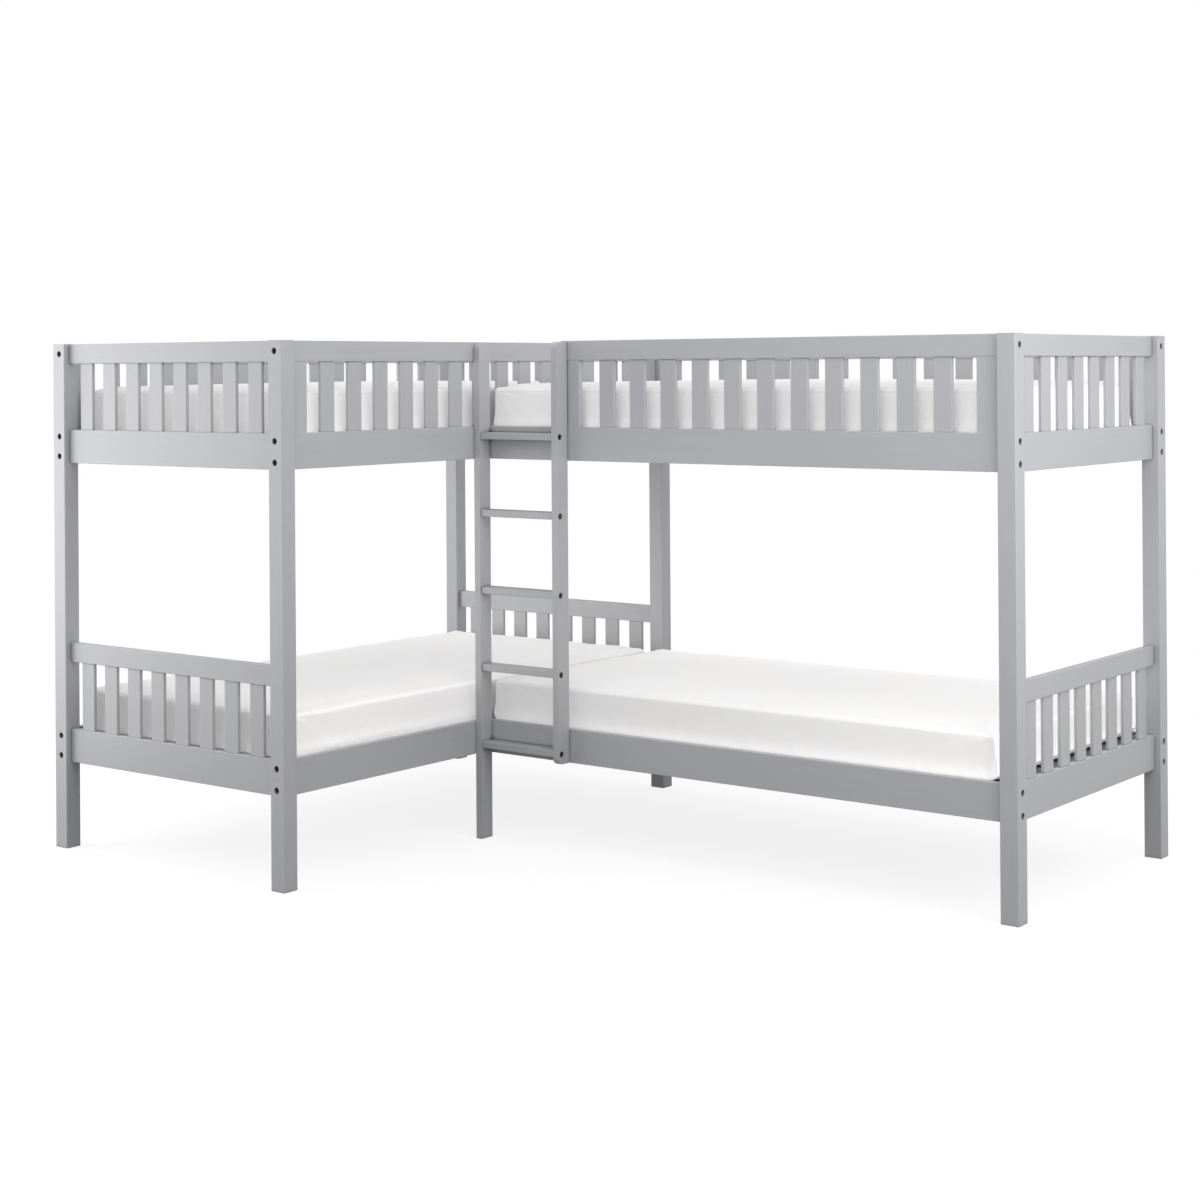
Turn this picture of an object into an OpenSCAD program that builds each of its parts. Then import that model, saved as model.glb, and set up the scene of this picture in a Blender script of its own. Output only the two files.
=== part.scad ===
// L-shaped bunk bed: two bed arms of two berths each meet in a corner, with one fixed ladder.
// The left arm runs front to back and the right arm runs along the back, so the plan is an L.
// Modules work from the floor corner at the front left, and placed() moves that to the origin.
// The origin is on the floor under the middle of the bed. X is across, Y runs back, Z is up.

/* [Berths] */
// Clear width of each berth between its two long rails
berth_w = 991; // [920:1:1100]
// Length of the left arm's berths beyond their mattresses
left_spare_l = 52; // [40:1:180]
// Length of the right arm's berths beyond their mattresses
right_spare_l = 37; // [25:1:180]
// Height of the posts
overall_h = 1664; // [1580:1:1800]
// Floor to the underside of the lower rails
lower_z = 283; // [220:1:330]
// Floor to the underside of the upper rails
upper_z = 1271; // [1200:1:1300]

/* [Posts] */
// Width of a square post
post_w = 57; // [52:1:70]
// Flat cut along a post's four long edges
post_edge = 2; // [0.5:0.5:4]
// How far a post stands above the upper top rails
post_proud = 1; // [0.5:0.5:6]

/* [Rails] */
// Thickness of every rail
rail_t = 21; // [20:1:26]
// Setback of a rail behind the outer face of the posts
rail_inset = 20; // [16:1:24]
// Height of the deep rails that carry the berths
side_rail_h = 110; // [100:1:130]
// Height of the narrow rails on top of guards and end panels
top_rail_h = 64; // [50:1:80]
// Height of a lower end panel, from rail underside to rail top
lower_panel_h = 395; // [340:1:450]
// Flat cut along a rail's long edges
rail_edge = 1.5; // [0.5:0.5:3]

/* [Slats and stiles] */
// Number of slats in an end panel
panel_slats = 8; // [6:1:9]
// Width of an upright slat
slat_w = 61; // [45:1:70]
// Thickness of an upright slat
slat_t = 12; // [9:1:16]
// Distance from one guard slat to the next
guard_pitch = 121; // [100:1:150]
// Width of the stile at each end of a guard
stile_w = 74; // [50:1:90]
// Thickness of a stile
stile_t = 18; // [16:1:19]
// How deep slats and stiles are let into the rails
housing = 8; // [5:1:9]
// Flat cut along the long edges of slats and stiles
slat_edge = 2; // [0.5:0.5:3]

/* [Ladder] */
// Clear width between the ladder's two stringers
tread_w = 307; // [260:1:380]
// Thickness of a stringer
stringer_t = 24; // [22:1:30]
// Depth of a stringer, front to back
stringer_d = 55; // [50:1:80]
// Radius of the stringers' rounded front corners
stringer_round = 20; // [8:1:30]
// How far the stringers stop below the top of the posts
stringer_drop = 4; // [2:1:20]
// Thickness of a tread
tread_t = 23; // [20:1:30]
// Setback of a tread behind the front of the stringers
tread_inset = 5; // [3:1:10]
// Floor to the top of the lowest tread
first_tread_z = 327.5; // [315:0.5:360]
// Floor to the top of the highest tread
last_tread_z = 1360.5; // [1300:0.5:1375]
// How deep a tread is let into each stringer
tread_housing = 5; // [3:1:7]

/* [Berth support] */
// Number of slats under a mattress
bed_slats = 14; // [10:1:18]
// Width of a bed slat
bed_slat_w = 68; // [50:1:90]
// Thickness of a bed slat
bed_slat_t = 15; // [12:1:20]
// Drop from the top of a side rail to the top of the bed slats
bed_slat_drop = 8; // [2:1:30]
// Width and height of the cleats that carry the bed slats
cleat = 25; // [18:1:32]

/* [Mattresses] */
// Length of a mattress
mattress_l = 1885; // [1780:1:2000]
// Thickness of a mattress at its rim
mattress_t = 144; // [110:1:180]
// Extra height in the middle of a mattress
mattress_crown = 10; // [2:1:14]
// Gap between a mattress and the rails on the inner side of the L
mattress_gap = 4; // [3:1:14]
// Gap between a mattress and the posts that stand into its berth
mattress_post_gap = 2; // [1:1:8]
// Radius of a mattress's corners, seen from above
mattress_corner = 24; // [20:1:60]
// Radius of a mattress's upper and lower edges
mattress_edge = 16; // [10:1:18]
// How far a long side is drawn in between the corners
mattress_waist = 3; // [0:0.5:6]

/* [Fasteners] */
// Radius of a bolt's shank
bolt_r = 3; // [2.5:0.1:3.2]
// Radius of a bolt's head
head_r = 7; // [5.5:0.1:7.2]
// Gap between a bolt's head and the wall of its counterbore
head_gap = 3; // [1:0.5:3.5]
// Height of a bolt's head
head_h = 5; // [4:0.5:6]
// Depth of the counterbore in a post
post_bore = 14; // [9:1:18]
// Depth of the counterbore in a rail or a stringer
thin_bore = 7; // [6:0.5:8]
// Distance between the two bolts at the end of a deep rail
bolt_spread = 65; // [50:1:70]
// Distance from a rail's end to its barrel nuts
nut_reach = 45; // [35:1:60]
// Distance from the front of a stringer to its tread bolts
tread_bolt = 14; // [12:1:20]

/* [Hidden] */

paint = [0.72, 0.73, 0.75];
paint_inside = [0.66, 0.67, 0.69];
sheet_white = [0.95, 0.94, 0.94];
steel = [0.45, 0.40, 0.28];

// Clearances: wood joints, bolts in their holes, nuts in theirs, and a soft piece on its seat
fit = 0.2;
bolt_hole_r = bolt_r + 0.5;
head_hole_r = head_r + head_gap;
nut_r = 5;
nut_hole_r = nut_r + 0.3;
nut_thread_r = bolt_r + 0.15;
nut_l = 15;
rest_gap = 0.3;

// Plan of the two arms
rail_inner = rail_inset + rail_t;
rail_mid = rail_inset + rail_t / 2;
arm_w = berth_w + 2 * rail_inner;
overall_d = mattress_l + left_spare_l + 2 * rail_inner;
overall_w = arm_w - rail_inset + mattress_l + right_spare_l + rail_inner;
right_y = overall_d - arm_w;
inner_post_x = arm_w - post_w;
right_post_x = overall_w - post_w;
back_post_y = overall_d - post_w;
back_rail_y = overall_d - rail_inner;
ladder_x = arm_w - rail_inset;

// Heights of the two levels: 0 is the lower berths and 1 the upper
rail_z = [lower_z, upper_z];
top_rail_z = [lower_z + lower_panel_h - top_rail_h, overall_h - post_proud - top_rail_h];

// Tenons stop short of the bolts that cross them inside the post
tenon_wall = 5;
tenon_l = post_w - rail_mid - bolt_hole_r - tenon_wall;
tenon_t = 12;
tenon_shoulder = 8;
tenon_root = 2;
two_bolt_h = 90;

// Ladder
stringer_y = right_y + rail_inset - stringer_d;
stringer_top = overall_h - stringer_drop;
entry_x = ladder_x + stringer_t + tread_w;
tread_count = 5;
tread_pitch = (last_tread_z - first_tread_z) / (tread_count - 1);
tread_y = stringer_y + tread_inset;
tread_d = stringer_d - tread_inset;
screw_r = 2;
screw_hole_r = 2.2;
screw_head_r = 4;
screw_head_h = 3;
screw_recess = 4;
screw_grip = 16;

// Mattress mesh: points on each corner arc, on each side, and steps of the edge rounding
corner_steps = 5;
side_steps = 5;
edge_steps = 3;
cap_scales = [0.8, 0.5, 0.2];
mattress_w = berth_w - mattress_gap - mattress_post_gap - (post_w - rail_inner);

cut = 1;

// A wall is a run of rails: [axis, x, y, length, 1 where the berth is on its far side]
panel_l = arm_w - 2 * post_w;
side_l = overall_d - 2 * post_w;
front_wall = ["x", post_w, rail_inset, panel_l, 1];
back_wall = ["x", post_w, back_rail_y, panel_l, 0];
right_wall = ["y", overall_w - rail_inner, right_y + post_w, panel_l, 1];
left_side = ["y", rail_inset, post_w, side_l, 0];
inner_side = ["y", arm_w - rail_inner, post_w, side_l, 1];
entry_side = ["x", ladder_x, right_y + rail_inset, right_post_x - ladder_x, 1];
entry_guard = ["x", entry_x, right_y + rail_inset, right_post_x - entry_x, 1];
back_side = ["x", arm_w, back_rail_y, right_post_x - arm_w, 0];

// Slats and stiles of a wall, each as [start, width, thickness]
function panel_slots(len) =
  let (gap = (len - panel_slats * slat_w) / (panel_slats + 1))
  [for (i = [0 : panel_slats - 1]) [gap + i * (slat_w + gap), slat_w, slat_t]];

function guard_slots(len) =
  let (
    span = len - 2 * stile_w,
    gap = guard_pitch - slat_w,
    count = round((span - gap) / guard_pitch),
    margin = (span - (count - 1) * guard_pitch - slat_w) / 2
  )
  concat(
    [[0, stile_w, stile_t]],
    [for (i = [0 : count - 1]) [stile_w + margin + i * guard_pitch, slat_w, slat_t]],
    [[len - stile_w, stile_w, stile_t]]
  );

function shifted(slots, by) = [for (s = slots) [s[0] + by, s[1], s[2]]];

// Depth of a barrel nut's bore in a board, so that the nut sits in the middle of its thickness
function nut_depth(t) = (t + nut_l) / 2 + fit;

// Heights of the bolts in the end of a rail
function bolt_levels(z, h) =
  h > two_bolt_h ? [z + (h - bolt_spread) / 2, z + (h + bolt_spread) / 2] : [z + h / 2];

side_bolts = concat(bolt_levels(rail_z[0], side_rail_h), bolt_levels(rail_z[1], side_rail_h));
post_bolts = concat(side_bolts, bolt_levels(top_rail_z[1], top_rail_h));

// [height, rail height] of each rail that tenons into a post
post_tenons = [[rail_z[0], side_rail_h], [top_rail_z[0], top_rail_h],
  [rail_z[1], side_rail_h], [top_rail_z[1], top_rail_h]];
back_tenons = [[rail_z[0], side_rail_h], [rail_z[1], side_rail_h], [top_rail_z[1], top_rail_h]];

module placed() {
  translate([-overall_w / 2, -overall_d / 2, 0]) children();
}

// Local frame of a wall: X along the run, Y through its thickness, Z up
module along(wall) {
  if (wall[0] == "x") {
    translate([wall[1], wall[2], 0]) children();
  } else {
    translate([wall[1] + rail_t, wall[2], 0]) rotate([0, 0, 90]) children();
  }
}

module chamfered(a, b, edge) {
  polygon([[edge, 0], [a - edge, 0], [a, edge], [a, b - edge],
    [a - edge, b], [edge, b], [0, b - edge], [0, edge]]);
}

// Board along X with its four long edges cut
module beam(len, t, h, edge) {
  rotate([90, 0, 90]) linear_extrude(len) chamfered(t, h, edge);
}

// Round bore or bar along X from x = 0
module bar_x(r, len) {
  rotate([0, 90, 0]) cylinder(r = r, h = len, $fn = 32);
}

module bar_y(r, len) {
  rotate([-90, 0, 0]) cylinder(r = r, h = len, $fn = 32);
}

// ---- Posts ----

// Post with its bolts along bolt_axis, entering at the outer face: side is -1 or 1
module post(at, bolt_axis, bolt_side, bolt_at) {
  color(paint) placed() difference() {
    translate([at.x, at.y, 0]) linear_extrude(overall_h) chamfered(post_w, post_w, post_edge);
    for (z = post_bolts) post_bolt_hole(at, bolt_axis, bolt_side, bolt_at, z);
    children();
  }
}

module post_bolt_hole(at, bolt_axis, bolt_side, bolt_at, z) {
  if (bolt_axis == "y") {
    translate([bolt_at, at.y - cut, z]) bar_y(bolt_hole_r, post_w + 2 * cut);
    mouth = bolt_side < 0 ? at.y - cut : at.y + post_w - post_bore;
    translate([bolt_at, mouth, z]) bar_y(head_hole_r, post_bore + cut);
  } else {
    translate([at.x - cut, bolt_at, z]) bar_x(bolt_hole_r, post_w + 2 * cut);
    translate([at.x + post_w - post_bore, bolt_at, z]) bar_x(head_hole_r, post_bore + cut);
  }
}

// Mortises for rails along X: side is -1 on the post's left face and 1 on its right face
module mortises_x(at, side, rail_y, rails) {
  depth = tenon_l + fit;
  x = side < 0 ? at.x - cut : at.x + post_w - depth;
  for (r = rails)
    translate([x, rail_y + (rail_t - tenon_t) / 2 - fit, r[0] + tenon_shoulder - fit])
      cube([depth + cut, tenon_t + 2 * fit, r[1] - 2 * tenon_shoulder + 2 * fit]);
}

module mortises_y(at, side, rail_x, rails) {
  depth = tenon_l + fit;
  y = side < 0 ? at.y - cut : at.y + post_w - depth;
  for (r = rails)
    translate([rail_x + (rail_t - tenon_t) / 2 - fit, y, r[0] + tenon_shoulder - fit])
      cube([tenon_t + 2 * fit, depth + cut, r[1] - 2 * tenon_shoulder + 2 * fit]);
}

module post_front_left() {
  at = [0, 0];
  post(at, "y", -1, rail_mid) mortises_x(at, 1, rail_inset, post_tenons);
}

module post_front_inner() {
  at = [inner_post_x, 0];
  post(at, "y", -1, arm_w - rail_mid) mortises_x(at, -1, rail_inset, post_tenons);
}

module post_back_left() {
  at = [0, back_post_y];
  post(at, "y", 1, rail_mid) mortises_x(at, 1, back_rail_y, post_tenons);
}

module post_back_inner() {
  at = [inner_post_x, back_post_y];
  post(at, "y", 1, arm_w - rail_mid) {
    mortises_x(at, -1, back_rail_y, post_tenons);
    mortises_x(at, 1, back_rail_y, back_tenons);
  }
}

module post_right_front() {
  at = [right_post_x, right_y];
  post(at, "x", 1, right_y + rail_mid) mortises_y(at, 1, overall_w - rail_inner, post_tenons);
}

module post_right_back() {
  at = [right_post_x, back_post_y];
  post(at, "x", 1, overall_d - rail_mid) mortises_y(at, -1, overall_w - rail_inner, post_tenons);
}

// ---- Rails, slats and stiles ----

// Rail of a wall. Each of its two ends is a "tenon", a "bolt" or "plain".
// slots lists the slats that it houses, in its top where slots_up is true, else in its underside.
module rail(wall, z, h, ends, slots = [], slots_up = true) {
  len = wall[3];
  color(paint) placed() along(wall) difference() {
    union() {
      translate([0, 0, z]) beam(len, rail_t, h, rail_edge);
      if (ends[0] == "tenon") translate([-tenon_l, 0, z]) tenon(h);
      if (ends[1] == "tenon") translate([len - tenon_root, 0, z]) tenon(h);
    }
    for (bz = bolt_levels(z, h)) {
      if (ends[0] == "bolt") translate([0, 0, bz]) nut_bores(wall[4]);
      if (ends[1] == "bolt") translate([len, 0, bz]) mirror([1, 0, 0]) nut_bores(wall[4]);
    }
    for (s = slots) slot(s, slots_up ? z + h - housing - fit : z - cut);
    children();
  }
}

module tenon(h) {
  translate([0, (rail_t - tenon_t) / 2, tenon_shoulder])
    cube([tenon_l + tenon_root, tenon_t, h - 2 * tenon_shoulder]);
}

module slot(s, z) {
  translate([s[0] - fit, (rail_t - s[2]) / 2 - fit, z])
    cube([s[1] + 2 * fit, s[2] + 2 * fit, housing + fit + cut]);
}

// Bolt bore from the rail's end, and the bore of its barrel nut from the berth side
module nut_bores(far_side) {
  translate([-cut, rail_t / 2, 0]) bar_x(bolt_hole_r, nut_reach + 3 * nut_r + cut);
  y = far_side == 1 ? rail_t - nut_depth(rail_t) : -cut;
  translate([nut_reach, y, 0]) bar_y(nut_hole_r, nut_depth(rail_t) + cut);
}

// Upright slats and stiles between the two rails of a wall
module slats(wall, level, slots) {
  low = rail_z[level] + side_rail_h - housing;
  high = top_rail_z[level] + housing;
  color(paint) placed() along(wall)
    for (s = slots)
      translate([s[0], (rail_t - s[2]) / 2, low])
        linear_extrude(high - low) chamfered(s[1], s[2], slat_edge);
}

module panel_top_rail(wall, level) {
  rail(wall, top_rail_z[level], top_rail_h, ["tenon", "tenon"], panel_slots(wall[3]), false);
}

module panel_rail(wall, level) {
  rail(wall, rail_z[level], side_rail_h, ["tenon", "tenon"], panel_slots(wall[3]));
}

module panel_slats(wall, level) {
  slats(wall, level, panel_slots(wall[3]));
}

module guard_top_rail(wall, ends) {
  rail(wall, top_rail_z[1], top_rail_h, ends, guard_slots(wall[3]), false) children();
}

module guard_slats(wall) {
  slats(wall, 1, guard_slots(wall[3]));
}

module side_rail(wall, level, ends, slots = []) {
  rail(wall, rail_z[level], side_rail_h, ends, slots) children();
}

// Holes in the inner side rails for the bolts of the right arm's front rail
module cross_bolt_holes(level) {
  for (z = bolt_levels(rail_z[level], side_rail_h))
    translate([right_y + rail_mid - post_w, -cut, z]) {
      bar_y(bolt_hole_r, rail_t + 2 * cut);
      translate([0, rail_t - thin_bore + cut, 0]) bar_y(head_hole_r, thin_bore + cut);
    }
}

// Clearance hole and head recess for a ladder screw, through a rail from its berth side
module screw_hole_through(at, z) {
  translate([at, -cut, z]) bar_y(screw_hole_r, rail_t + 2 * cut);
  translate([at, rail_t - screw_recess, z]) bar_y(screw_head_r + 0.5, screw_recess + cut);
}

long_screw_at = stringer_y + stringer_d / 2 - post_w;
short_screw_at = entry_x - ladder_x + stringer_t / 2;

module guard_inner_top_rail() {
  guard_top_rail(inner_side, ["bolt", "bolt"])
    screw_hole_through(long_screw_at, top_rail_z[1] + top_rail_h / 2);
}

module inner_side_rail(level, slots = []) {
  side_rail(inner_side, level, ["bolt", "bolt"], slots) {
    cross_bolt_holes(level);
    screw_hole_through(long_screw_at, rail_z[level] + side_rail_h / 2);
  }
}

module guard_entry_top_rail() {
  guard_top_rail(entry_guard, ["plain", "bolt"])
    screw_hole_through(stringer_t / 2, top_rail_z[1] + top_rail_h / 2);
}

module entry_side_rail(level, slots = []) {
  side_rail(entry_side, level, ["bolt", "bolt"], slots)
    screw_hole_through(short_screw_at, rail_z[level] + side_rail_h / 2);
}

// ---- Ladder ----

// Stringer outline in Y and Z: both front corners can be round, the back is straight
module stringer_outline(low, round_low) {
  r = stringer_round;
  translate([r, low]) square([stringer_d - r, stringer_top - low]);
  foot = round_low ? low + r : low;
  translate([0, foot]) square([r + cut, stringer_top - r - foot]);
  translate([r, stringer_top - r]) circle(r = r, $fn = 48);
  if (round_low) translate([r, low + r]) circle(r = r, $fn = 48);
}

function tread_top(i) = first_tread_z + i * tread_pitch;
screw_heights = [rail_z[0] + side_rail_h / 2, rail_z[1] + side_rail_h / 2,
  top_rail_z[1] + top_rail_h / 2];

// Stringer at x: its counterbores start at bore_x and its tread housings at housing_x
module stringer(x, low, round_low, bore_x, housing_x) {
  color(paint) placed() difference() {
    translate([x, stringer_y, 0]) rotate([90, 0, 90]) linear_extrude(stringer_t)
      stringer_outline(low, round_low);
    for (i = [0 : tread_count - 1]) {
      z = tread_top(i) - tread_t / 2;
      translate([x - cut, stringer_y + tread_bolt, z]) bar_x(bolt_hole_r, stringer_t + 2 * cut);
      translate([bore_x, stringer_y + tread_bolt, z]) bar_x(head_hole_r, thin_bore + cut);
      translate([housing_x, tread_y - fit, tread_top(i) - tread_t - fit])
        cube([tread_housing + fit + cut, tread_d + fit + cut, tread_t + 2 * fit]);
    }
    children();
  }
}

module ladder_stringer_long() {
  stringer(ladder_x, 0, false, ladder_x - cut, ladder_x + stringer_t - tread_housing - fit)
    for (z = screw_heights)
      translate([ladder_x - cut, stringer_y + stringer_d / 2, z])
        bar_x(screw_hole_r, screw_grip + 2 * cut);
}

module ladder_stringer_short() {
  stringer(entry_x, lower_z, true, entry_x + stringer_t - thin_bore, entry_x - cut)
    for (z = screw_heights)
      translate([entry_x + stringer_t / 2, stringer_y + stringer_d - screw_grip - cut, z])
        bar_y(screw_hole_r, screw_grip + 2 * cut);
}

module ladder_tread(i) {
  x = ladder_x + stringer_t - tread_housing;
  len = tread_w + 2 * tread_housing;
  color(paint) placed() translate([x, tread_y, tread_top(i) - tread_t]) difference() {
    beam(len, tread_d, tread_t, rail_edge);
    for (side = [0, 1])
      translate([side * len, 0, 0]) mirror([side, 0, 0]) {
        translate([-cut, tread_bolt - tread_inset, tread_t / 2])
          bar_x(bolt_hole_r, tread_housing + nut_reach + 3 * nut_r + cut);
        translate([tread_housing + nut_reach, tread_bolt - tread_inset, -cut])
          cylinder(r = nut_hole_r, h = nut_depth(tread_t) + cut, $fn = 32);
      }
  }
}

// ---- Berth support ----

// Height of the top of the bed slats of a level
function slat_top(level) = rail_z[level] + side_rail_h - bed_slat_drop;

module cleats(level) {
  z = slat_top(level) - bed_slat_t - cleat;
  color(paint_inside) placed() translate([0, 0, z]) {
    for (x = [rail_inner, arm_w - rail_inner - cleat])
      translate([x, post_w, 0]) cube([cleat, side_l, cleat]);
    translate([ladder_x, right_y + rail_inner, 0]) cube([right_post_x - ladder_x, cleat, cleat]);
    translate([arm_w, back_rail_y - cleat, 0]) cube([right_post_x - arm_w, cleat, cleat]);
  }
}

// Slats across a berth: start and end of the row, measured along the berth
module slat_row(start, end) {
  step = (end - start - bed_slat_w) / (bed_slats - 1);
  for (i = [0 : bed_slats - 1]) translate([start + i * step, 0, 0]) children();
}

slat_end_gap = 2;
slat_len = berth_w - 2 * slat_end_gap;

module bed_slats_left(level) {
  color(paint_inside) placed()
    translate([rail_inner + slat_end_gap + slat_len, 0, slat_top(level) - bed_slat_t])
      rotate([0, 0, 90]) slat_row(post_w + slat_end_gap, back_post_y - slat_end_gap)
        cube([bed_slat_w, slat_len, bed_slat_t]);
}

module bed_slats_right(level) {
  color(paint_inside) placed()
    translate([0, right_y + rail_inner + slat_end_gap, slat_top(level) - bed_slat_t])
      slat_row(arm_w + slat_end_gap, right_post_x - slat_end_gap)
        cube([bed_slat_w, slat_len, bed_slat_t]);
}

// ---- Mattresses ----

// Corner centre q of a rounded rectangle with half sizes a and b and corner radius r
function corner_centre(q, a, b, r) =
  [(q == 0 || q == 3 ? 1 : -1) * (a - r), (q < 2 ? 1 : -1) * (b - r)];

// Outline of a mattress in plan, drawn in by inset all round and by the waist on its sides
function mattress_outline(inset) =
  let (a = mattress_l / 2 - inset, b = mattress_w / 2 - inset, r = mattress_corner - inset)
  [for (q = [0 : 3])
    let (c = corner_centre(q, a, b, r), d = corner_centre((q + 1) % 4, a, b, r),
      out = [cos(q * 90 + 90), sin(q * 90 + 90)])
    each concat(
      [for (i = [0 : corner_steps]) c + r * [cos(90 * (q + i / corner_steps)),
        sin(90 * (q + i / corner_steps))]],
      [for (i = [1 : side_steps])
        let (s = i / (side_steps + 1))
        c + (d - c) * s + out * (r - mattress_waist * sin(180 * s))]
    )];

// Rise of the crown at a point of the plan
function crown_at(p) =
  mattress_crown * (1 - pow(2 * p.x / mattress_l, 2)) * (1 - pow(2 * p.y / mattress_w, 2));

// One ring of points at height z, with the crown growing towards the top
function mattress_ring(outline, z) =
  [for (p = outline) [p.x, p.y, z + crown_at(p) * z / mattress_t]];

function mattress_rings() =
  let (e = mattress_edge)
  concat(
    [for (i = [0 : edge_steps])
      let (t = 90 * i / edge_steps)
      mattress_ring(mattress_outline(e * (1 - sin(t))), e * (1 - cos(t)))],
    [for (i = [0 : edge_steps])
      let (t = 90 * i / edge_steps)
      mattress_ring(mattress_outline(e * (1 - cos(t))), mattress_t - e * (1 - sin(t)))],
    [for (s = cap_scales) mattress_ring([for (p = mattress_outline(e)) p * s], mattress_t)]
  );

module mattress_body() {
  rings = mattress_rings();
  n = len(rings[0]);
  count = len(rings);
  points = concat([for (r = rings) each r], [[0, 0, mattress_t + mattress_crown]]);
  bands = [for (k = [0 : count - 2], i = [0 : n - 1])
    let (j = (i + 1) % n, a = k * n, b = (k + 1) * n)
    each [[a + i, b + i, a + j], [a + j, b + i, b + j]]];
  base = [[for (i = [0 : n - 1]) i]];
  cap = [for (i = [0 : n - 1]) [(count - 1) * n + i, count * n, (count - 1) * n + (i + 1) % n]];
  polyhedron(points = points, faces = concat(bands, base, cap), convexity = 4);
}

module mattress_left(level) {
  x = arm_w - rail_inner - mattress_gap - mattress_w / 2;
  y = post_w + mattress_post_gap + mattress_l / 2;
  color(sheet_white) placed()
    translate([x, y, slat_top(level) + rest_gap]) rotate([0, 0, 90]) mattress_body();
}

module mattress_right(level) {
  x = ladder_x + mattress_gap + mattress_l / 2;
  y = right_y + rail_inner + mattress_gap + mattress_w / 2;
  color(sheet_white) placed() translate([x, y, slat_top(level) + rest_gap]) mattress_body();
}

// ---- Fasteners ----

// Bolt along X: the underside of its head is at x = 0 and its shank runs to x = len
module bolt(len) {
  difference() {
    union() {
      translate([-head_h, 0, 0]) bar_x(head_r, head_h);
      bar_x(bolt_r, len);
    }
    translate([-head_h - cut, 0, 0]) rotate([0, 90, 0]) cylinder(r = head_r / 2, h = 3 + cut, $fn = 6);
  }
}

post_shank = post_w - post_bore + nut_reach + 2 * nut_r;
cross_shank = rail_t - thin_bore + nut_reach + 2 * nut_r;
tread_shank = stringer_t - thin_bore + nut_reach + 2 * nut_r;

module bolts() {
  color(steel) placed() {
    for (x = [rail_mid, arm_w - rail_mid], z = post_bolts) {
      translate([x, post_bore, z]) rotate([0, 0, 90]) bolt(post_shank);
      translate([x, overall_d - post_bore, z]) rotate([0, 0, -90]) bolt(post_shank);
    }
    for (y = [right_y + rail_mid, overall_d - rail_mid], z = post_bolts)
      translate([overall_w - post_bore, y, z]) rotate([0, 0, 180]) bolt(post_shank);
    for (z = side_bolts)
      translate([arm_w - rail_inner + thin_bore, right_y + rail_mid, z]) bolt(cross_shank);
    for (i = [0 : tread_count - 1]) {
      translate([ladder_x + thin_bore, stringer_y + tread_bolt, tread_top(i) - tread_t / 2])
        bolt(tread_shank);
      translate([entry_x + stringer_t - thin_bore, stringer_y + tread_bolt,
        tread_top(i) - tread_t / 2]) rotate([0, 0, 180]) bolt(tread_shank);
    }
  }
}

// Barrel nut along Z, with the hole for its bolt along X
module barrel_nut() {
  difference() {
    translate([0, 0, -nut_l / 2]) cylinder(r = nut_r, h = nut_l, $fn = 32);
    translate([-nut_r - cut, 0, 0]) bar_x(nut_thread_r, 2 * (nut_r + cut));
  }
}

module barrel_nuts() {
  reach = post_w + nut_reach;
  color(steel) placed() {
    for (x = [rail_mid, arm_w - rail_mid], y = [reach, overall_d - reach], z = post_bolts)
      translate([x, y, z]) rotate([0, 90, 0]) rotate([0, 0, 90]) barrel_nut();
    for (y = [right_y + rail_mid, overall_d - rail_mid], z = post_bolts)
      translate([overall_w - reach, y, z]) rotate([90, 0, 0]) barrel_nut();
    for (z = side_bolts)
      translate([ladder_x + nut_reach, right_y + rail_mid, z]) rotate([90, 0, 0]) barrel_nut();
    for (i = [0 : tread_count - 1], x = [ladder_x + stringer_t + nut_reach, entry_x - nut_reach])
      translate([x, stringer_y + tread_bolt, tread_top(i) - tread_t / 2]) barrel_nut();
  }
}

// Wood screw along X: the underside of its head is at x = 0
module screw() {
  translate([-screw_head_h, 0, 0]) bar_x(screw_head_r, screw_head_h);
  bar_x(screw_r, rail_t - screw_recess + screw_grip);
}

module ladder_screws() {
  color(steel) placed() for (z = screw_heights) {
    translate([arm_w - rail_inner + screw_recess, stringer_y + stringer_d / 2, z]) screw();
    translate([entry_x + stringer_t / 2, right_y + rail_inner - screw_recess, z])
      rotate([0, 0, -90]) screw();
  }
}

// ---- Nodes ----

post_front_left();
post_front_inner();
post_back_left();
post_back_inner();
post_right_front();
post_right_back();

panel_top_rail(front_wall, 1);  // upper_front_top_rail
panel_rail(front_wall, 1);  // upper_front_rail
panel_slats(front_wall, 1);  // upper_front_slats
panel_top_rail(back_wall, 1);  // upper_back_top_rail
panel_rail(back_wall, 1);  // upper_back_rail
panel_slats(back_wall, 1);  // upper_back_slats
panel_top_rail(right_wall, 1);  // upper_right_top_rail
panel_rail(right_wall, 1);  // upper_right_rail
panel_slats(right_wall, 1);  // upper_right_slats
panel_top_rail(front_wall, 0);  // lower_front_top_rail
panel_rail(front_wall, 0);  // lower_front_rail
panel_slats(front_wall, 0);  // lower_front_slats
panel_top_rail(back_wall, 0);  // lower_back_top_rail
panel_rail(back_wall, 0);  // lower_back_rail
panel_slats(back_wall, 0);  // lower_back_slats
panel_top_rail(right_wall, 0);  // lower_right_top_rail
panel_rail(right_wall, 0);  // lower_right_rail
panel_slats(right_wall, 0);  // lower_right_slats

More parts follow.
